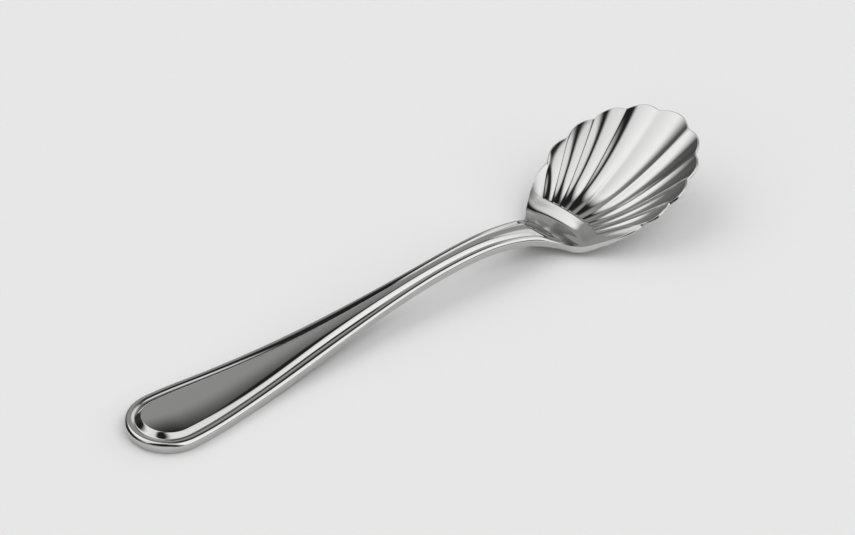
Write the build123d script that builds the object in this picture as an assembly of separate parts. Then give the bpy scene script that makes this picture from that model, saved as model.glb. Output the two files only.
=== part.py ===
from build123d import *
import math
import os

# Sugar spoon with a scallop-shell bowl, struck from one blank of stainless steel.
# X runs from the handle end (0) to the tip of the bowl, Y across, Z up; lengths in mm.
# The handle end and the heel of the bowl rest on the table, at Z = 0. Just before the pieces are
# written, the spoon is moved along X to its own middle.

# Overall sizes
LENGTH = 140.0
HANDLE_WIDTH = 17.5
STEM_WIDTH = 5.6
BOWL_WIDTH = 31.0  # across opposite notches of the rim
STEM_HEIGHT = 7.5

# Where the spoon changes along its length
PANEL_END = LENGTH * 0.4286
STEM_TOP = LENGTH * 0.5857
NECK_END = LENGTH * 0.7429
HEEL_FOLD = LENGTH * 0.768
FLUTE_START = LENGTH * 0.7957
RIM_START = LENGTH * 0.8286
BOWL_MIDDLE = LENGTH * 0.8743

# Edge bead and raised panel of the handle
EDGE_HEIGHT = 1.75
NECK_WALL = 1.45
BEAD_WIDTH = 2.0
STEM_BEAD_WIDTH = 1.6
SHOULDER_WIDTH = 1.2
STEM_SHOULDER_WIDTH = 0.95
PANEL_RISE = 1.12
GROOVE_RISE = 0.38
BEAD_RISE = 0.72
PANEL_RADIUS = 26.8
RELIEF_FADE = LENGTH * 0.657
FOOT_DEPTH = 0.06
END_LIFT = 0.2

# Bowl
FLOOR_HEIGHT = 2.45
RIM_HEIGHT = 6.3
RIM_TILT = 22.5
RIM_ARCH = 0.57
RIM_THICKNESS = 0.7
HEEL_SLOPE = 0.13
FLUTE_SPACING = 1.87
FLUTE_HOLLOW = 0.055
LOBE_BULGE = 0.17
LOBE_CLIMB = 36.0
NOTCH_ANGLES = (17, 43, 67, 89, 112)

# Stations along the spoon, as shares of the length, with the half width there, the height of the
# edges, the height of the middle of the bowl's floor and the height of the middle of the back.
END_RADIUS = HANDLE_WIDTH / 2
HALF_WIDTH = (
    (END_RADIUS, END_RADIUS),
    (LENGTH * 0.143, HANDLE_WIDTH * 0.442),
    (LENGTH * 0.229, HANDLE_WIDTH * 0.352),
    (LENGTH * 0.321, HANDLE_WIDTH * 0.262),
    (LENGTH * 0.414, STEM_WIDTH * 0.609),
    (LENGTH * 0.5, STEM_WIDTH * 0.504),
    (LENGTH * 0.571, STEM_WIDTH * 0.507),
    (LENGTH * 0.629, STEM_WIDTH * 0.559),
    (LENGTH * 0.671, STEM_WIDTH * 0.645),
    (LENGTH * 0.707, STEM_WIDTH * 0.791),
    (LENGTH * 0.7215, STEM_WIDTH * 0.896),
    (LENGTH * 0.7357, STEM_WIDTH * 1.08),
    (LENGTH * 0.75, BOWL_WIDTH * 0.26),
    (LENGTH * 0.7715, BOWL_WIDTH * 0.342),
    (LENGTH * 0.793, BOWL_WIDTH * 0.414),
    (LENGTH * 0.807, BOWL_WIDTH * 0.445),
    (RIM_START, BOWL_WIDTH * 0.464),
)
EDGE = (
    (END_RADIUS, EDGE_HEIGHT),
    (LENGTH * 0.143, EDGE_HEIGHT * 1.057),
    (LENGTH * 0.229, STEM_HEIGHT * 0.332),
    (LENGTH * 0.321, STEM_HEIGHT * 0.509),
    (LENGTH * 0.414, STEM_HEIGHT * 0.724),
    (LENGTH * 0.5, STEM_HEIGHT * 0.9),
    (STEM_TOP, STEM_HEIGHT),
    (LENGTH * 0.629, STEM_HEIGHT * 0.972),
    (LENGTH * 0.671, STEM_HEIGHT * 0.839),
    (LENGTH * 0.707, STEM_HEIGHT * 0.631),
    (LENGTH * 0.7357, STEM_HEIGHT * 0.407),
    (LENGTH * 0.75, STEM_HEIGHT * 0.352),
    (LENGTH * 0.7715, RIM_HEIGHT * 0.551),
    (RIM_START, RIM_HEIGHT),
)
FLOOR = (
    (STEM_TOP, STEM_HEIGHT),
    (LENGTH * 0.629, STEM_HEIGHT * 0.972),
    (LENGTH * 0.671, STEM_HEIGHT * 0.845),
    (LENGTH * 0.707, STEM_HEIGHT * 0.655),
    (NECK_END, FLOOR_HEIGHT * 1.24),
    (LENGTH * 0.761, FLOOR_HEIGHT * 0.99),
    (LENGTH * 0.7786, FLOOR_HEIGHT * 0.95),
    (FLUTE_START, FLOOR_HEIGHT),
)
BACK = (
    (END_RADIUS, -FOOT_DEPTH),
    (LENGTH * 0.143, FOOT_DEPTH),
    (LENGTH * 0.229, STEM_HEIGHT * 0.095),
    (LENGTH * 0.321, STEM_HEIGHT * 0.262),
    (LENGTH * 0.414, STEM_HEIGHT * 0.468),
    (LENGTH * 0.5, STEM_HEIGHT * 0.63),
    (STEM_TOP, STEM_HEIGHT * 0.722),
    (LENGTH * 0.629, STEM_HEIGHT * 0.69),
    (LENGTH * 0.671, STEM_HEIGHT * 0.555),
    (LENGTH * 0.707, STEM_HEIGHT * 0.31),
    (NECK_END, STEM_HEIGHT * 0.07),
    (LENGTH * 0.761, STEM_HEIGHT * 0.008),
    (LENGTH * 0.7786, 0),
    (FLUTE_START, STEM_HEIGHT * 0.013),
)


def along(stations, x):
    """Value at x of the smooth curve through (position, value) stations, level at its first one."""
    if x <= stations[0][0]:
        return stations[0][1]
    last = len(stations) - 1
    i = max(n for n in range(last) if stations[n][0] <= x or n == 0)
    slopes = []
    for n in (i, i + 1):
        if n == 0:
            slopes.append(0.0)
            continue
        a, b = stations[n - 1], stations[n]
        c = stations[n + 1] if n < last else b
        before = (b[1] - a[1]) / (b[0] - a[0])
        after = (c[1] - b[1]) / (c[0] - b[0]) if n < last else before
        step = c[0] - a[0]
        slopes.append((before * (c[0] - b[0]) + after * (b[0] - a[0])) / step if n < last else before)
    (x0, v0), (x1, v1) = stations[i], stations[i + 1]
    d = x1 - x0
    t = (x - x0) / d
    h = t * t * (3 - 2 * t)
    return v0 + (v1 - v0) * h + d * t * (1 - t) * (slopes[0] * (1 - t) - slopes[1] * t)


def ramp(x, start, end):
    """0 before start, 1 after end, eased in between."""
    t = min(max((x - start) / (end - start), 0), 1)
    return t * t * (3 - 2 * t)


def blend(a, b, t):
    return a + (b - a) * t


def base(x):
    """Plain curved section at x: half width, edge height, floor, back edge, back middle."""
    edge = along(EDGE, x)
    floor = along(FLOOR, x) if x > STEM_TOP else edge
    wall = blend(EDGE_HEIGHT + FOOT_DEPTH, NECK_WALL, ramp(x, HANDLE_WIDTH, NECK_END))
    wall = blend(wall, RIM_THICKNESS, ramp(x, NECK_END, RIM_START))
    return along(HALF_WIDTH, x), edge, floor, edge - wall, along(BACK, x)


def half_section(x):
    """Half section at x, from the middle of the top round to the middle of the back.

    Each entry is a straight run of two points or a curve of three.
    """
    w, edge, floor, under, back = base(x)
    relief = 1 - ramp(x, RELIEF_FADE, NECK_END)
    slim = ramp(x, END_RADIUS, STEM_TOP)
    bead = blend(BEAD_WIDTH, STEM_BEAD_WIDTH, slim)
    shoulder = blend(SHOULDER_WIDTH, STEM_SHOULDER_WIDTH, slim)
    panel = max(w - bead - shoulder, 0.12 * w)
    groove = w - bead * (w - panel) / (bead + shoulder)
    bulge = (edge - floor) / w ** 2
    crown = PANEL_RISE + panel ** 2 / (2 * PANEL_RADIUS)

    def top(y1, y2, rise):
        return floor + bulge * y1 * y2 + relief * rise

    middle = (0, top(0, 0, crown))
    lip = (panel, top(panel, panel, PANEL_RISE))
    ridge = blend(groove, w, 0.4)
    chain = [lip, (groove, top(groove, groove, GROOVE_RISE))]
    chain += [(ridge, top(ridge, ridge, BEAD_RISE)), (w, edge), (w, under)]
    runs = [(middle, (panel / 2, top(0, panel, crown)), lip)]
    runs += list(zip(chain, chain[1:]))
    runs.append(((w, under), (w / 2, back), (0, back)))
    return runs


def run_edge(x, points):
    placed = [(x, y, z) for y, z in points]
    return Line(*placed) if len(placed) == 2 else Bezier(*placed)


def shank_section(x):
    """Closed wire of the whole section at x."""
    right = half_section(x)
    left = [tuple((-y, z) for y, z in reversed(run)) for run in reversed(right)]
    return Wire([run_edge(x, run) for run in right + left])


# Handle and neck: one loft along the spoon, with the rounded end turned about its own middle.
cuts = [END_RADIUS]
cuts += [LENGTH * share for share in (0.075, 0.107, 0.157, 0.229, 0.321, 0.414, 0.5)]
cuts += [STEM_TOP]
cuts += [LENGTH * share for share in (0.636, 0.671, 0.7, 0.7215)]
cuts += [NECK_END]
shank = Solid.make_loft([shank_section(x) for x in cuts])
half = half_section(END_RADIUS)
half_edges = [run_edge(END_RADIUS, run) for run in half]
half_edges.append(run_edge(END_RADIUS, (half[-1][-1], half[0][0])))
half_face = Face(Wire(half_edges))
end = revolve(half_face, Axis((END_RADIUS, 0, 0), (0, 0, 1)), 180)
panel_plane = Plane((PANEL_END, 0, 0), z_dir=(1, 0, 0))
handle = end + split(shank, panel_plane, keep=Keep.BOTTOM)
neck = split(shank, panel_plane, keep=Keep.TOP)

# The back of the handle is ground flat where it rests, and turns up a little at the very end.
depth = -HANDLE_WIDTH
ground = [(0, END_LIFT), (END_RADIUS, 0), (PANEL_END, 0), (PANEL_END, depth), (0, depth)]
table = extrude(Plane.XZ * make_face(Polyline(*ground, close=True)), HANDLE_WIDTH, both=True)
handle = handle - table


# Bowl: eleven strips, a plain shoulder on each side and nine flutes between them, each a curved
# patch on the inside and one on the outside. A row holds the points of all strips across the bowl,
# from +Y to -Y; every second point is the control point of a curve.
first = math.radians(NOTCH_ANGLES[0])
tip_bulge = LOBE_BULGE * BOWL_WIDTH * math.sin(first)
half_x = (LENGTH - BOWL_MIDDLE - tip_bulge - 0.6 * RIM_THICKNESS) / math.cos(first)
angles = [math.radians(a) for a in reversed(NOTCH_ANGLES)]
angles += [-a for a in reversed(angles)]


def notch(a):
    """Point of the rim between two lobes, at angle a round the middle of the bowl."""
    x = BOWL_MIDDLE + half_x * math.cos(a)
    run = x - RIM_START
    height = RIM_HEIGHT + run * math.tan(math.radians(RIM_TILT))
    share = run / (BOWL_MIDDLE + half_x - RIM_START)
    height += RIM_ARCH * 4 * share * (1 - share)
    return Vector(x, BOWL_WIDTH / 2 * math.sin(a), height)


def heel_row(x, outer):
    """Row across the plain heel at x, of the inside or of the outside."""
    w, edge, floor, under, back = base(x)
    middle, side = (back, under) if outer else (floor, edge)
    spread = FLUTE_SPACING * w / along(HALF_WIDTH, FLUTE_START)
    ys = [w] + [spread * (4.5 - k) for k in range(10)] + [-w]
    curve = (side - middle) / w ** 2
    points = [Vector(x, w, side)]
    for y0, y1 in zip(ys, ys[1:]):
        points.append(Vector(x, (y0 + y1) / 2, middle + curve * y0 * y1))
        points.append(Vector(x, y1, middle + curve * y1 * y1))
    return points


def heel_rows(x0, x1, outer):
    """Four rows that lead from one heel row to the next with the slopes of the spoon."""
    start, end = heel_row(x0, outer), heel_row(x1, outer)
    step = 0.01
    reach = (x1 - x0) / 3 / step
    after = heel_row(x0 + step, outer)
    before = heel_row(x1 - step, outer)
    leave = [p + (q - p) * reach for p, q in zip(start, after)]
    arrive = [p + (q - p) * reach for p, q in zip(end, before)]
    return [start, leave, arrive, end]


def across(ridges, bulge, hollow):
    """Row through the ridge points, hollow between them and pushed out by the lobes of the rim."""
    points = [ridges[0]]
    for k, (p, q) in enumerate(zip(ridges, ridges[1:])):
        control = (p + q) / 2
        if 0 < k < 10:
            chord = q - p
            out = Vector(-chord.Y, chord.X, 0)
            climb = Vector(0, 0, out.length * math.tan(math.radians(LOBE_CLIMB)))
            control += (out + climb) * 2 * bulge
            control -= Vector(0, 0, 2 * hollow * chord.length)
        points += [control, q]
    return points


def flute_rows(outer):
    """Three rows from the heel to the rim: level at the heel, steepest at the rim."""
    foot = heel_row(FLUTE_START, outer)
    thick = RIM_THICKNESS if outer else 0
    heads = []
    for a in angles:
        heads.append(notch(a) + Vector(0.6 * math.cos(a), 0.6 * math.sin(a), -0.8) * thick)
    w, edge, floor, under, back = base((heads[0].X + FLUTE_START) / 2)
    side = Vector((heads[0].X + FLUTE_START) / 2, w, under if outer else edge)
    bend = side * 2 - (foot[0] + heads[0]) / 2
    middles = []
    for f, h in zip(foot[2:-1:2], heads):
        reach = Vector(h.X - f.X, h.Y - f.Y, 0).length / 2
        middles.append(Vector((f.X + h.X) / 2, (f.Y + h.Y) / 2, f.Z + HEEL_SLOPE * reach))
    bends = [bend] + middles + [Vector(bend.X, -bend.Y, bend.Z)]
    rim = [heads[0]] + heads + [heads[-1]]
    hollow = 0 if outer else FLUTE_HOLLOW
    return [foot, across(bends, 0, hollow), across(rim, LOBE_BULGE, (hollow + FLUTE_HOLLOW) / 2)]


def patches(rows):
    """One curved face for each strip of the rows, three-sided where the strip ends in a point."""
    strips = []
    for n in range(0, len(rows[0]) - 1, 2):
        if (rows[-1][n + 2] - rows[-1][n]).length > 0:
            strips.append(Face.make_bezier_surface([row[n:n + 3] for row in rows]))
        else:
            start = Bezier(*rows[0][n:n + 3])
            sides = [Bezier(*[row[m] for row in rows]) for m in (n, n + 2)]
            strips.append(Face.make_surface([start] + sides))
    return strips


def ruled(upper, lower):
    """Narrow faces that join two rows."""
    strips = range(0, len(upper) - 1, 2)
    return [Face.make_surface_from_curves(Bezier(*upper[n:n + 3]), Bezier(*lower[n:n + 3])) for n in strips]


faces = []
skins = []
for outer in (False, True):
    zones = [
        heel_rows(NECK_END, HEEL_FOLD, outer),
        heel_rows(HEEL_FOLD, FLUTE_START, outer),
        flute_rows(outer),
    ]
    skins.append(zones)
    for rows in zones:
        faces += patches(rows)
for upper, lower in zip(*skins):
    for side in (0, -1):
        top_edge = Bezier(*[row[side] for row in upper])
        low_edge = Bezier(*[row[side] for row in lower])
        faces.append(Face.make_surface_from_curves(top_edge, low_edge))
faces += ruled(skins[0][0][0], skins[1][0][0])
faces += ruled(skins[0][-1][-1][2:-2], skins[1][-1][-1][2:-2])
shell_bowl = Solid(Shell(faces))

parts = {"handle": handle, "neck": neck, "shell_bowl": shell_bowl}
os.makedirs("parts", exist_ok=True)
for name, piece in parts.items():
    export_step(Pos(-LENGTH / 2, 0, 0) * piece, f"parts/{name}.step")
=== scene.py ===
import math

import bpy
import numpy as np
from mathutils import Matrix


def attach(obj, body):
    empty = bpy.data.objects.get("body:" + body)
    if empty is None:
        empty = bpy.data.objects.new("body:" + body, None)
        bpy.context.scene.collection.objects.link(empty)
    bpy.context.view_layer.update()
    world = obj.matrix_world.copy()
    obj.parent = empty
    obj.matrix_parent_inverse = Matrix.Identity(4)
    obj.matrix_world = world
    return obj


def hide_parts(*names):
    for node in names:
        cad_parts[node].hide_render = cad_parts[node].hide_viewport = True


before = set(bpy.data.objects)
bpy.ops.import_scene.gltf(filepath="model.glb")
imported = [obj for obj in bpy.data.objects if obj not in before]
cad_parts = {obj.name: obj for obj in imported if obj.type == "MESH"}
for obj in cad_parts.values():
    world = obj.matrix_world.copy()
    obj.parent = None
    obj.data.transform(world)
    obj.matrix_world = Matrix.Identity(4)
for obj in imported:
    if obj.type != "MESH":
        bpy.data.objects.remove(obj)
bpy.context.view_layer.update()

bpy.ops.object.select_all(action="DESELECT")


# Handle: the broad rounded end of the spoon with its taper. One blank of stainless steel is struck
# between two dies, which raise the crowned middle panel and the bead along each edge, and the
# trimmed edge is then ground round and buffed. Sizes are in millimetres from the handle's end.
MM = 0.001
LENGTH = 140.0
HANDLE_WIDTH = 17.5
STEM_WIDTH = 5.6
STEM_HEIGHT = 7.5
BOWL_WIDTH = 31.0
RIM_HEIGHT = 6.3
FLOOR_HEIGHT = 2.45
EDGE_HEIGHT = 1.75
BACK_LIFT = 0.08
NECK_WALL = 1.45
RIM_THICKNESS = 0.55
END_RADIUS = HANDLE_WIDTH / 2
PANEL_END = 60.0
STEM_TOP = 82.0
NECK_END = 104.0
FLUTE_START = 111.9
RIM_START = 116.0


def fair(stations):
    """Smooth curve through (place, value) stations, level at the first, with no jump in curvature."""
    places, values = np.array(stations, float).T
    gaps = np.diff(places)
    rises = np.diff(values) / gaps
    count = len(places)
    rows = np.zeros((count, count))
    sums = np.zeros(count)
    rows[0, 0] = 1
    rows[-1, -2:] = 1, 2
    sums[-1] = 3 * rises[-1]
    for i in range(1, count - 1):
        before, after = gaps[i - 1], gaps[i]
        rows[i, i - 1:i + 2] = after, 2 * (before + after), before
        sums[i] = 3 * (after * rises[i - 1] + before * rises[i])
    slopes = np.linalg.solve(rows, sums)

    def at(place):
        place = max(place, places[0])
        i = min(max(np.searchsorted(places, place) - 1, 0), count - 2)
        t = (place - places[i]) / gaps[i]
        ease = t * t * (3 - 2 * t)
        sway = gaps[i] * t * (1 - t) * (slopes[i] * (1 - t) - slopes[i + 1] * t)
        return values[i] + (values[i + 1] - values[i]) * ease + sway

    return at


# The outline and the heights run the whole length of the blank, through the neck into the bowl.
half_width = fair([
    (END_RADIUS, END_RADIUS),
    (20, HANDLE_WIDTH * 0.442),
    (32, HANDLE_WIDTH * 0.352),
    (45, HANDLE_WIDTH * 0.262),
    (58, STEM_WIDTH * 0.609),
    (70, STEM_WIDTH * 0.504),
    (80, STEM_WIDTH * 0.507),
    (88, STEM_WIDTH * 0.559),
    (94, STEM_WIDTH * 0.645),
    (99, STEM_WIDTH * 0.791),
    (101, STEM_WIDTH * 0.896),
    (103, STEM_WIDTH * 1.08),
    (105, BOWL_WIDTH * 0.26),
    (108, BOWL_WIDTH * 0.342),
    (111, BOWL_WIDTH * 0.414),
    (113, BOWL_WIDTH * 0.445),
    (RIM_START, BOWL_WIDTH * 0.464),
])
edge_height = fair([
    (END_RADIUS, EDGE_HEIGHT),
    (20, EDGE_HEIGHT * 1.057),
    (32, STEM_HEIGHT * 0.332),
    (45, STEM_HEIGHT * 0.509),
    (58, STEM_HEIGHT * 0.724),
    (70, STEM_HEIGHT * 0.9),
    (STEM_TOP, STEM_HEIGHT),
    (88, STEM_HEIGHT * 0.972),
    (94, STEM_HEIGHT * 0.839),
    (99, STEM_HEIGHT * 0.631),
    (103, STEM_HEIGHT * 0.407),
    (105, STEM_HEIGHT * 0.352),
    (108, RIM_HEIGHT * 0.551),
    (RIM_START, RIM_HEIGHT),
])
floor_height = fair([
    (STEM_TOP, STEM_HEIGHT),
    (88, STEM_HEIGHT * 0.972),
    (94, STEM_HEIGHT * 0.845),
    (99, STEM_HEIGHT * 0.66),
    (100.5, STEM_HEIGHT * 0.575),
    (102, FLOOR_HEIGHT * 1.46),
    (NECK_END, FLOOR_HEIGHT * 1.1),
    (106, FLOOR_HEIGHT * 0.89),
    (107.6, FLOOR_HEIGHT * 0.755),
    (108.6, FLOOR_HEIGHT * 0.675),
    (108.85, FLOOR_HEIGHT * 0.66),
    (109.05, FLOOR_HEIGHT * 0.665),
    (109.3, FLOOR_HEIGHT * 0.69),
    (110.3, FLOOR_HEIGHT * 0.835),
    (FLUTE_START, FLOOR_HEIGHT * 1.055),
    (113.5, FLOOR_HEIGHT * 1.29),
])
back_height = fair([
    (END_RADIUS, 0),
    (20, BACK_LIFT),
    (32, STEM_HEIGHT * 0.095),
    (45, STEM_HEIGHT * 0.262),
    (58, STEM_HEIGHT * 0.468),
    (70, STEM_HEIGHT * 0.63),
    (STEM_TOP, STEM_HEIGHT * 0.722),
    (88, STEM_HEIGHT * 0.69),
    (94, STEM_HEIGHT * 0.555),
    (99, STEM_HEIGHT * 0.31),
    (NECK_END, STEM_HEIGHT * 0.07),
    (106.5, STEM_HEIGHT * 0.008),
    (109, 0),
    (FLUTE_START, STEM_HEIGHT * 0.013),
])

# The bead runs along each edge, and the shoulder falls from the panel to the groove beside it. The
# lip's roll is the share of the shoulder that is rounded, and the flank is the bead's inner side.
bead_width = fair([
    (END_RADIUS, 2.0),
    (25, 2.0),
    (40, 2.15),
    (55, 1.9),
    (70, 1.62),
    (85, 1.55),
    (NECK_END, 1.5),
])
shoulder_width = fair([
    (END_RADIUS, 1.28),
    (25, 1.6),
    (40, 1.55),
    (55, 1.0),
    (70, 0.75),
    (85, 1.0),
    (97, 1.9),
    (NECK_END, 3),
])
lip_roll = fair([
    (END_RADIUS, 0.08),
    (20, 0.3),
    (32, 0.52),
    (45, 0.55),
    (NECK_END, 0.55),
])
flank_rise = fair([
    (END_RADIUS, 0.8),
    (25, 0.76),
    (40, 0.66),
    (50, 0.5),
    (60, 0.5),
    (75, 0.78),
    (90, 0.9),
    (NECK_END, 0.9),
])
PANEL_RISE = 1.12
PANEL_RADIUS = 26.8
PANEL_END_RADIUS = 45.0
RIDGE_SHARE = 0.12
GROOVE_RISE = 0.33
BEAD_RISE = 0.95
BEAD_FLANK = 0.8
BEAD_SWELL = 0.14
RELIEF_FADE = 98.0
CORNER_RADIUS = 0.4
CORNER_FADE = 0.6
DRAFT = 0.28

# The mesh is finer at the creases, and buffing rounds them over a few of its cells.
PANEL_CELLS = 16
SHOULDER_CELLS = 14
BEAD_CELLS = 18
WALL_CELLS = 12
CORNER_CELLS = 6
BACK_CELLS = 12
TIP_RINGS = 44
SHANK_STEP = 0.3
EVEN_SHARE = 0.25
BUFF_REACH = 6
BUFF_PASSES = 6
MERGE_REACH = 1e-6
CUT_REACH = 1e-7
SMOOTH_ANGLE = math.radians(65)


def ramp(x, start, end):
    """0 before the start, 1 after the end, eased in between."""
    t = min(max((x - start) / (end - start), 0), 1)
    return t * t * (3 - 2 * t)


def blend(a, b, t):
    """The value a share t of the way from a to b."""
    return a + (b - a) * t


def plain_section(x):
    """Half width, edge height, middle height, lower edge and middle of the back at x."""
    edge = edge_height(x)
    floor = floor_height(x) if x > STEM_TOP else edge
    wall = blend(EDGE_HEIGHT, NECK_WALL, ramp(x, HANDLE_WIDTH, NECK_END))
    wall = blend(wall, RIM_THICKNESS, ramp(x, NECK_END, RIM_START))
    return half_width(x), edge, floor, edge - wall, back_height(x)


def close_at_ends(cells):
    """Shares from 0 to 1 that lie closer together at both ends, where a crease needs them."""
    even = np.linspace(0, 1, cells + 1)
    return EVEN_SHARE * even + (1 - EVEN_SHARE) * (1 - np.cos(math.pi * even)) / 2


def bezier(shares, *points):
    """Points at the shares of the curve that is drawn by two or more points."""
    points = [np.array(p, float) for p in points]
    while len(points) > 1:
        points = [a + (b - a) * shares[:, None] for a, b in zip(points, points[1:])]
    return points[0]


def buff(points, passes):
    """Rounds a row of points where it lies, between its two ends."""
    for _ in range(passes):
        points[1:-1] = (points[:-2] + 2 * points[1:-1] + points[2:]) / 4


def half_section(x, turn=math.pi / 2):
    """(y, z) points round the +Y half of the section at x, from the top middle to the back middle.
    Round the rounded end the section turns towards the length, where the panel is flatter."""
    width, edge, floor, under, back = plain_section(x)
    relief = 1 - ramp(x, RELIEF_FADE, NECK_END)
    bead = bead_width(x)
    shoulder = shoulder_width(x)
    panel = max(width - bead - shoulder, RIDGE_SHARE * width)
    shrink = (width - panel) / (bead + shoulder)
    groove = width - bead * shrink
    bulge = (edge - floor) / width ** 2

    def top(y, rise):
        return floor + bulge * y * y + relief * rise

    ys = panel * np.linspace(0, 1, PANEL_CELLS + 1)
    crowned = math.sin(turn) ** 2 / PANEL_RADIUS
    droop = math.cos(turn) ** 2 / PANEL_END_RADIUS
    swell = (panel ** 2 / PANEL_RADIUS - crowned * ys ** 2 - droop * panel ** 2) / 2
    crown = np.stack([ys, top(ys, PANEL_RISE + swell)], 1)

    roll = lip_roll(x) * shoulder * shrink
    drop = relief * (crowned + droop) * panel * roll
    lip = (panel + roll, crown[-1, 1] + top(panel + roll, 0) - top(panel, 0) - drop)
    valley = (groove, top(groove, GROOVE_RISE))
    fall = bezier(close_at_ends(SHOULDER_CELLS), crown[-1], lip, valley)

    inner = width - BEAD_FLANK * bead * shrink
    outer = width - BEAD_SWELL * bead * shrink
    flank = (inner, top(inner, flank_rise(x)))
    crest = (outer, top(outer, BEAD_RISE))
    round_bead = bezier(close_at_ends(BEAD_CELLS), valley, flank, crest, (width, edge))

    cut = CORNER_RADIUS * (1 - CORNER_FADE * ramp(x, RELIEF_FADE, NECK_END))
    belly = (under - back) / width ** 2
    reach = width - cut - DRAFT
    wall_foot = (width - DRAFT, under + cut)
    back_edge = (reach, back + belly * reach ** 2)
    wall = bezier(close_at_ends(WALL_CELLS), (width, edge), wall_foot)
    corner = bezier(np.linspace(0, 1, CORNER_CELLS + 1), wall_foot, (width - DRAFT, under), back_edge)
    ys = reach * np.linspace(1, 0, BACK_CELLS + 1)
    underside = np.stack([ys, back + belly * ys ** 2], 1)

    points = np.concatenate([crown, fall[1:], round_bead[1:], wall[1:], corner[1:], underside[1:]])
    valley_place = PANEL_CELLS + SHOULDER_CELLS
    edge_place = valley_place + BEAD_CELLS
    for crease in (valley_place, edge_place):
        buff(points[crease - BUFF_REACH:crease + BUFF_REACH + 1], BUFF_PASSES)
    return points, panel


def closed(x, y, z):
    """Whole section from its +Y half."""
    half = np.stack([x, y, z], 1)
    return np.concatenate([half, (half * (1, -1, 1))[-2::-1]])


def tip_ring(turn):
    """Closed section of the rounded end, turned by an angle from the very end to the first station."""
    half, panel = half_section(END_RADIUS, turn)
    y, z = half.T
    x = END_RADIUS - y * math.cos(turn)
    x[:PANEL_CELLS + 1] = END_RADIUS - panel * math.cos(turn)
    x[-BACK_CELLS - 1:] = END_RADIUS - (END_RADIUS - CORNER_RADIUS - DRAFT) * math.cos(turn)
    return closed(x, y * math.sin(turn), z)


def shank_ring(x):
    """Closed section of the taper or the neck at x."""
    half, _ = half_section(x)
    return closed(np.full(len(half), x), *half.T)


def press_sheet(name, rings):
    """A flat sheet with one vertex for each point of the rings, pressed onto them."""
    rings = np.array(rings)
    rows, columns = rings.shape[:2]
    bpy.ops.mesh.primitive_grid_add(x_subdivisions=columns - 1, y_subdivisions=rows - 1, size=2)
    piece = bpy.context.active_object
    piece.name = name
    piece.data.name = name
    flat = np.empty(len(piece.data.vertices) * 3)
    piece.data.vertices.foreach_get("co", flat)
    flat = (flat.reshape(-1, 3) + 1) / 2
    row = np.rint(flat[:, 1] * (rows - 1)).astype(int)
    column = np.rint(flat[:, 0] * (columns - 1)).astype(int)
    pressed = (rings[row, column] - (LENGTH / 2, 0, 0)) * MM
    piece.data.vertices.foreach_set("co", pressed.ravel())
    piece.data.update()
    return piece


def cap(piece, x):
    """Closes the flat cut across the spoon at x."""
    place = (x - LENGTH / 2) * MM
    bpy.ops.object.mode_set(mode="OBJECT")
    for part in (piece.data.polygons, piece.data.edges, piece.data.vertices):
        part.foreach_set("select", [False] * len(part))
    on_cut = [abs(v.co.x - place) < CUT_REACH for v in piece.data.vertices]
    for line in piece.data.edges:
        line.select = all(on_cut[v] for v in line.vertices)
    bpy.ops.object.mode_set(mode="EDIT")
    bpy.ops.mesh.select_mode(type="EDGE")
    bpy.ops.mesh.edge_face_add()


def close_sheet(piece, *cuts):
    """Merges a pressed sheet's seams, closes its flat cuts and turns its faces outwards."""
    bpy.ops.object.mode_set(mode="EDIT")
    bpy.ops.mesh.select_all(action="SELECT")
    bpy.ops.mesh.remove_doubles(threshold=MERGE_REACH)
    for x in cuts:
        cap(piece, x)
    bpy.ops.mesh.select_all(action="SELECT")
    bpy.ops.mesh.normals_make_consistent(inside=False)
    bpy.ops.object.mode_set(mode="OBJECT")
    bpy.ops.object.shade_smooth_by_angle(angle=SMOOTH_ANGLE)


rings = [tip_ring(turn) for turn in np.linspace(0, math.pi / 2, TIP_RINGS)]
steps = round((PANEL_END - END_RADIUS) / SHANK_STEP)
rings += [shank_ring(x) for x in np.linspace(END_RADIUS, PANEL_END, steps + 1)[1:]]
handle = press_sheet("handle_struck", rings)
close_sheet(handle, PANEL_END)

# Stainless steel, struck, ground and then buffed with a fine compound: it mirrors the room in sharp
# edges, with a faint grey softening in patches where the buff has left its marks. Real marks are
# hundredths of a millimetre wide, and they are drawn coarser here so that they show.
STEEL_HEX = "CBCBCA"
STEEL_ROUGHNESS = 0.07
BUFF_MARK = 0.6
BUFF_DETAIL = 3.0
BUFF_UNEVENNESS = 0.3


def linear(hex_colour):
    """Linear RGBA of an sRGB hex value."""
    parts = [int(hex_colour[i:i + 2], 16) / 255 for i in (0, 2, 4)]
    return [p / 12.92 if p <= 0.04045 else ((p + 0.055) / 1.055) ** 2.4 for p in parts] + [1]


def add_node(tree, kind, links=(), values=(), **settings):
    """A node with its settings, its sockets' values and links (socket, from node, from socket)."""
    node = tree.nodes.new(kind)
    for key, value in settings.items():
        setattr(node, key, value)
    for key, value in dict(values).items():
        node.inputs[key].default_value = value
    for key, source, output in links:
        tree.links.new(source.outputs[output], node.inputs[key])
    return node


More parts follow.
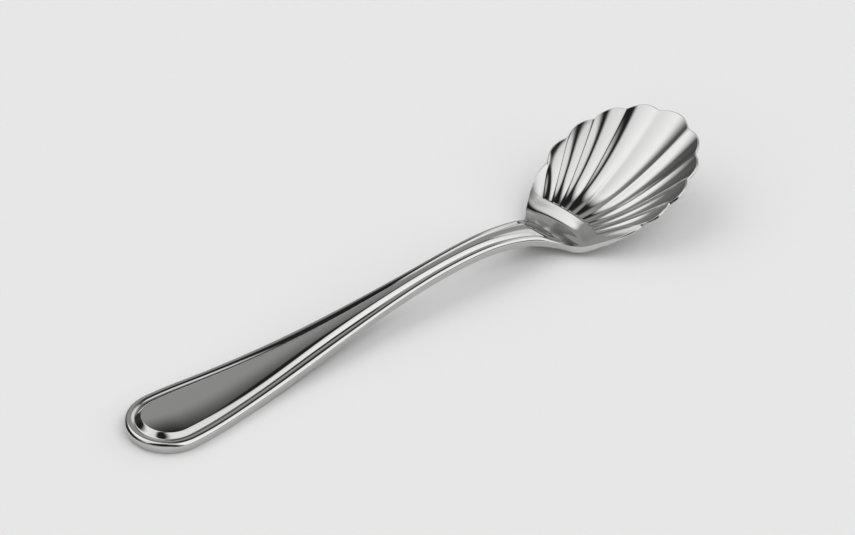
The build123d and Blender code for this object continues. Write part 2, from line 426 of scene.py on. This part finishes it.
steel = bpy.data.materials.new("stainless_steel_buffed")
steel.use_nodes = True
finish = steel.node_tree
shader = finish.nodes["Principled BSDF"]
shader.inputs["Base Color"].default_value = linear(STEEL_HEX)
shader.inputs["Metallic"].default_value = 1.0
place = add_node(finish, "ShaderNodeTexCoord")
marks = add_node(
    finish, "ShaderNodeTexNoise", [("Vector", place, "Object")],
    {"Scale": 1 / (BUFF_MARK * MM), "Detail": BUFF_DETAIL})
dullest = STEEL_ROUGHNESS * (1 + BUFF_UNEVENNESS)
sharpest = STEEL_ROUGHNESS * (1 - BUFF_UNEVENNESS)
sheen = add_node(
    finish, "ShaderNodeMapRange", [("Value", marks, "Fac")],
    {"To Min": sharpest, "To Max": dullest})
finish.links.new(sheen.outputs["Result"], shader.inputs["Roughness"])
handle.data.materials.append(steel)
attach(handle, "root")
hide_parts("handle")


# Neck: the narrow arched stem of the same blank, in the same buffed steel. The panel shrinks to a
# ridge between the two beads, and all three run out where the stem dips into the heel of the bowl.
NECK_STEP = 0.2145
steps = round((NECK_END - PANEL_END) / NECK_STEP)
rings = [shank_ring(x) for x in np.linspace(PANEL_END, NECK_END, steps + 1)]
neck = press_sheet("neck_struck", rings)
close_sheet(neck, PANEL_END, NECK_END)
neck.data.materials.append(steel)
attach(neck, "root")
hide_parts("neck")


# Bowl: the scallop shell, struck from the same blank of steel. A plain heel and two plain shoulders
# lead into nine hollow flutes, which end in the nine lobes of the rim. The rim is ground and buffed.
FLUTES = 9
FLUTE_SPACING = 1.87
FLUTE_BEND = 0.41
FLUTE_HOLLOW = 0.1
FLUTE_RUN_IN = 0.03
BOWL_MIDDLE = 122.4
NOTCH_ANGLES = (112, 89, 67, 43, 17)
RIM_TILT = math.radians(22.5)
RIM_ARCH = 0.57
RIM_HOLLOW = 0.063
RIM_ROUND = 0.25
RIM_OUT = 0.6
RIM_DROP = 0.8
LOBE_BULGE = 0.17
LOBE_CLIMB = math.radians(36)
CREST_RADIUS = 0.28

# The fold round the heel and the roots of the flutes lie on arcs across the bowl. From its root a
# flute climbs at a slope, which is steeper towards the sides and has its own value on the back.
HEEL_ARC = 0.04
HEEL_ARC_REACH = 9.0
HEEL_ARC_FULL = 106.5
ROOT_ARC = 0.028
ROOT_SLOPE = 0.08
SIDE_SLOPE = 0.3
BACK_SLOPE = 0.1

# The mesh of the bowl has rows along the heel and the flutes, and cells across each strip.
HEEL_ROWS = 48
FLUTE_ROWS = 100
FLUTE_CELLS = 20
SHOULDER_STRIP = 10
RIM_CELLS = 18
RIM_BUFF_PASSES = 12

last_notch = math.radians(NOTCH_ANGLES[-1])
tip_bulge = LOBE_BULGE * BOWL_WIDTH * math.sin(last_notch)
half_length = (LENGTH - BOWL_MIDDLE - tip_bulge - RIM_OUT * RIM_THICKNESS) / math.cos(last_notch)


def hump(t):
    """0 at both ends of a stretch, 1 in its middle."""
    return 4 * t * (1 - t)


def notch(angle):
    """Point of the rim between two lobes, at an angle round the middle of the bowl."""
    x = BOWL_MIDDLE + half_length * math.cos(angle)
    run = x - RIM_START
    share = run / (BOWL_MIDDLE + half_length - RIM_START)
    height = RIM_HEIGHT + run * math.tan(RIM_TILT) + RIM_ARCH * hump(share)
    return np.array([x, BOWL_WIDTH / 2 * math.sin(angle), height])


def dish_height(x, y, outer):
    """Height of the plain heel at a place on its inside or its outside."""
    width, edge, _, under, back = plain_section(x)
    arc = HEEL_ARC * min(abs(y), HEEL_ARC_REACH) ** 2 * ramp(x, NECK_END, HEEL_ARC_FULL)
    middle, side = (back, under) if outer else (floor_height(x + arc), edge)
    return middle + (side - middle) * abs(y / width) ** 2


def side_point(x, outer):
    """Point of the bowl's side edge at x, on the inside or the outside."""
    width, edge, _, under, _ = plain_section(x)
    return np.array([x, width, under if outer else edge])


def ridge_lines(outer):
    """Foot, bend and head of one side edge, of the ten ridges and of the other side edge."""
    angles = [math.radians(a) for a in NOTCH_ANGLES]
    angles += [-a for a in reversed(angles)]
    widest = FLUTE_SPACING * (FLUTES / 2)
    lines = []
    for k, angle in enumerate(angles):
        y = FLUTE_SPACING * (FLUTES / 2 - k)
        x = FLUTE_START - ROOT_ARC * y * y
        foot = np.array([x, y, dish_height(x, y, outer)])
        head = notch(angle)
        if outer:
            away = np.array([RIM_OUT * math.cos(angle), RIM_OUT * math.sin(angle), -RIM_DROP])
            head = head + away * RIM_THICKNESS
        bend = foot + (head - foot) * FLUTE_BEND
        slope = BACK_SLOPE if outer else ROOT_SLOPE + SIDE_SLOPE * (y / widest) ** 2
        bend[2] = foot[2] + slope * np.hypot(*(bend - foot)[:2])
        lines.append([foot, bend, head])
    first_foot, _, end = lines[0]
    foot = side_point(first_foot[0], outer)
    middle = side_point((end[0] + foot[0]) / 2, outer)
    side = [foot, middle * 2 - (foot + end) / 2, end]
    other_side = [p * (1, -1, 1) for p in side]
    return [side] + lines + [other_side]


def across_flute(start, end, shares, t, outer):
    """Points across one flute from ridge to ridge, at the share t of its length: hollow between the
    ridges, and pushed out into a lobe towards the rim."""
    chord = end - start
    reach = np.linalg.norm(chord)
    to_ridge = np.minimum(shares, 1 - shares) * reach
    soft = np.sqrt(to_ridge ** 2 + CREST_RADIUS ** 2) - CREST_RADIUS
    full = math.sqrt(reach ** 2 / 4 + CREST_RADIUS ** 2) - CREST_RADIUS
    rounded = soft / full / 2
    climb = math.hypot(chord[0], chord[1]) * math.tan(LOBE_CLIMB)
    out = np.array([-chord[1], chord[0], climb])
    hollow = RIM_HOLLOW if outer else blend(RIM_HOLLOW, FLUTE_HOLLOW, hump(t))
    sink = np.array([0, 0, hollow * reach * ramp(t, 0, FLUTE_RUN_IN)])
    push = out * LOBE_BULGE * t * t - sink
    return start + chord * shares[:, None] + push * hump(rounded)[:, None]


def bowl_rows(outer):
    """Rows of points across the inside or the outside, from the neck to the rim."""
    lines = ridge_lines(outer)
    feet = [line[0] for line in lines]
    strip_cells = [SHOULDER_STRIP] + [FLUTE_CELLS] * FLUTES + [SHOULDER_STRIP]
    strips = [close_at_ends(cells)[:-1] for cells in strip_cells]
    strips[-1] = close_at_ends(SHOULDER_STRIP)
    last = len(strips) - 1
    roots = [feet[k] + (feet[k + 1] - feet[k]) * s[:, None] for k, s in enumerate(strips)]
    roots = np.concatenate(roots)
    rows = []
    for share in np.linspace(0, 1, HEEL_ROWS + 1)[:-1]:
        row = []
        for root in roots:
            x = blend(NECK_END, root[0], share)
            y = root[1] * half_width(x) / half_width(root[0])
            row.append((x, y, dish_height(x, y, outer)))
        rows.append(np.array(row))

    # The flutes start on the curve of the heel, which fades along them.
    dips = np.array([dish_height(x, y, outer) - z for x, y, z in roots])
    for t in (1 - np.cos(np.linspace(0, math.pi, FLUTE_ROWS + 1))) / 2:
        ridges = [a * (1 - t) ** 2 + b * 2 * t * (1 - t) + c * t ** 2 for a, b, c in lines]
        row = []
        for k, shares in enumerate(strips):
            start, end = ridges[k], ridges[k + 1]
            if 0 < k < last:
                row.append(across_flute(start, end, shares, t, outer))
            else:
                row.append(start + (end - start) * shares[:, None])
        row = np.concatenate(row)
        row[:, 2] += dips * (1 - t) ** 2
        rows.append(row)
    return np.array(rows)


def border(rows):
    """Points down one side of a sheet, round its rim from the first notch to the last, and back up."""
    return np.concatenate([rows[:-1, 0], rows[-1, SHOULDER_STRIP:-SHOULDER_STRIP], rows[-2::-1, -1]])


def rim_rows(inside, outside):
    """Rows of points from the edge of the inside round the rim to the edge of the outside."""
    inner = np.array(inside)
    inner[:-1, 0] = inside[:-1, 1]
    inner[:-1, -1] = inside[:-1, -2]
    inner[-1] = inside[-2]
    away = border(inside) - border(inner)
    away /= np.linalg.norm(away, axis=1)[:, None]
    buff(away, RIM_BUFF_PASSES)
    top, bottom = border(inside), border(outside)
    full = np.array([ramp(x, NECK_END, RIM_START) for x in top[:, 0]])[:, None]
    rows = []
    for turn in np.linspace(0, math.pi, RIM_CELLS + 1):
        share = blend(turn / math.pi, (1 - math.cos(turn)) / 2, full)
        rows.append(top + (bottom - top) * share + away * full * RIM_ROUND * math.sin(turn))
    return np.array(rows)


inside = bowl_rows(outer=False)
outside = bowl_rows(outer=True)
rim_sheet = press_sheet("shell_bowl_rim", rim_rows(inside, outside))
back_sheet = press_sheet("shell_bowl_back", outside)
bowl = press_sheet("shell_bowl_struck", inside)
rim_sheet.select_set(True)
back_sheet.select_set(True)
bpy.ops.object.join()
close_sheet(bowl, NECK_END)
bowl.data.materials.append(steel)
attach(bowl, "root")
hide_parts("shell_bowl")


# Table: a pale matt sheet of card on which the spoon lies, wide enough to fill the picture. It isn't
# part of the spoon.
TABLE_HEX = "E6E6E6"
TABLE_ROUGHNESS = 0.9
TABLE_SIZE = 6000.0
bpy.ops.mesh.primitive_plane_add(size=TABLE_SIZE * MM, location=(0, 0, 0))
table = bpy.context.active_object
table.name = "table"
card = bpy.data.materials.new("matt_white_sheet")
card.use_nodes = True
card_shader = card.node_tree.nodes["Principled BSDF"]
card_shader.inputs["Base Color"].default_value = linear(TABLE_HEX)
card_shader.inputs["Roughness"].default_value = TABLE_ROUGHNESS
table.data.materials.append(card)


# Camera: above the spoon's near side, at the photograph's viewing angle, with a long lens.
VIEW_TURN = math.radians(39.324)
VIEW_DROP = math.radians(36.194)
VIEW_DISTANCE = 696.81
VIEW_TARGET = (8.98, 8.268, 0.3)
FOCAL_LENGTH = 144.75
SENSOR_WIDTH = 36.0
NEAREST = 10.0
level = math.cos(VIEW_DROP)
ahead = np.array([math.sin(VIEW_TURN) * level, math.cos(VIEW_TURN) * level, -math.sin(VIEW_DROP)])
lens = bpy.data.cameras.new("camera")
lens.lens = FOCAL_LENGTH
lens.sensor_width = SENSOR_WIDTH
lens.clip_start = NEAREST * MM
camera = bpy.data.objects.new("camera", lens)
camera.location = (np.array(VIEW_TARGET) - ahead * VIEW_DISTANCE) * MM
camera.rotation_euler = (math.pi / 2 - VIEW_DROP, 0, -VIEW_TURN)
bpy.context.collection.objects.link(camera)
bpy.context.scene.camera = camera


# Light: a studio with a long soft box on each side of the spoon and a dark gap between them overhead.
# Across from the camera stands a grey wall, with a glow at its end past the bowl, and past the
# handle's end lies a room that is lit from one side. The directions are the spoon's own axes.
BOX_LEVEL = 1.38
BOX_EDGE_LEVEL = 1.0
BOX_MIDDLE = 0.6
WALL_LEVEL = 0.38
GLOW_LEVEL = 0.6
ROOM_LEVEL = 0.7
DARK_LEVEL = 0.02

# Each part of the studio is cut out by soft steps: an axis, where it is dark and where it is lit.
# The slant is X over Z, which ends a box at a leaning plane across the spoon.
RIGHT_BOX = (("Y", -0.03, -0.17), ("slant", -0.38, -0.12), ("Z", 0.12, 0.3))
LEFT_BOX = (("Y", 0.0, 0.13), ("X", 0.26, 0.06), ("Z", 0.46, 0.7))
WALL = (("X", -0.35, 0.25), ("Y", 1.03, 0.83), ("Y", -0.3, 0.0), ("Z", 0.88, 0.61))
GLOW = (("X", 0.6, 0.76), ("Y", 0.58, 0.36), ("Z", -0.05, 0.1))
ROOM = (("X", -0.3, -0.6), ("Z", 0.62, 0.4), ("Y", 0.7, -0.6))

world = bpy.data.worlds.new("studio")
bpy.context.scene.world = world
world.use_nodes = True
studio = world.node_tree
sky = add_node(studio, "ShaderNodeTexCoord")
way = add_node(studio, "ShaderNodeSeparateXYZ", [("Vector", sky, "Generated")])
slant = add_node(studio, "ShaderNodeMath", [(0, way, "X"), (1, way, "Z")], operation="DIVIDE")
axes = {"X": (way, "X"), "Y": (way, "Y"), "Z": (way, "Z"), "slant": (slant, 0)}


def studio_part(soft_steps):
    """1 where all the soft steps of a part of the studio are lit, falling to 0 where one is dark."""
    shade = None
    for axis, dark, lit in soft_steps:
        span = {"From Min": min(dark, lit), "From Max": max(dark, lit)}
        span.update({"To Min": float(dark > lit), "To Max": float(lit > dark)})
        step = add_node(
            studio, "ShaderNodeMapRange", [("Value", *axes[axis])], span,
            interpolation_type="SMOOTHSTEP")
        if shade is not None:
            factors = [(0, shade, 0), (1, step, 0)]
            step = add_node(studio, "ShaderNodeMath", factors, operation="MULTIPLY")
        shade = step
    return shade


# The boxes are brighter away from the gap, and the brightest part shows in each direction.
both = [(0, studio_part(RIGHT_BOX), 0), (1, studio_part(LEFT_BOX), 0)]
boxes = add_node(studio, "ShaderNodeMath", both, operation="ADD")
aside = add_node(studio, "ShaderNodeMath", [(0, way, "Y")], operation="ABSOLUTE")
face = add_node(
    studio, "ShaderNodeMapRange", [("Value", aside, 0)],
    {"From Max": BOX_MIDDLE, "To Min": BOX_EDGE_LEVEL, "To Max": BOX_LEVEL})
boxes = add_node(studio, "ShaderNodeMath", [(0, boxes, 0), (1, face, 0)], operation="MULTIPLY")
rest = add_node(
    studio, "ShaderNodeMath", [(0, studio_part(WALL), 0)], {1: WALL_LEVEL, 2: DARK_LEVEL},
    operation="MULTIPLY_ADD")
for soft_steps, strength in ((GLOW, GLOW_LEVEL), (ROOM, ROOM_LEVEL)):
    added = [(0, studio_part(soft_steps), 0), (2, rest, 0)]
    rest = add_node(studio, "ShaderNodeMath", added, {1: strength}, operation="MULTIPLY_ADD")
brightest = add_node(studio, "ShaderNodeMath", [(0, boxes, 0), (1, rest, 0)], operation="MAXIMUM")
background = studio.nodes["Background"]
studio.links.new(brightest.outputs[0], background.inputs["Strength"])
background.inputs["Color"].default_value = (1, 1, 1, 1)

# Daylight through a wide diffuser on the camera's left fills the table. The steel doesn't mirror it.
SUN_LEVEL = 1.03
SUN_HEIGHT = math.radians(68)
SUN_TURN = math.radians(135)
SUN_SPREAD = math.radians(130)
sun = bpy.data.lights.new("fill_sun", "SUN")
sun.angle = SUN_SPREAD
sun.energy = SUN_LEVEL / math.sin(SUN_HEIGHT)
fill = bpy.data.objects.new("fill_sun", sun)
fill.rotation_euler = (0, math.pi / 2 - SUN_HEIGHT, SUN_TURN)
fill.visible_glossy = False
bpy.context.collection.objects.link(fill)
bpy.context.scene.view_settings.view_transform = "Standard"
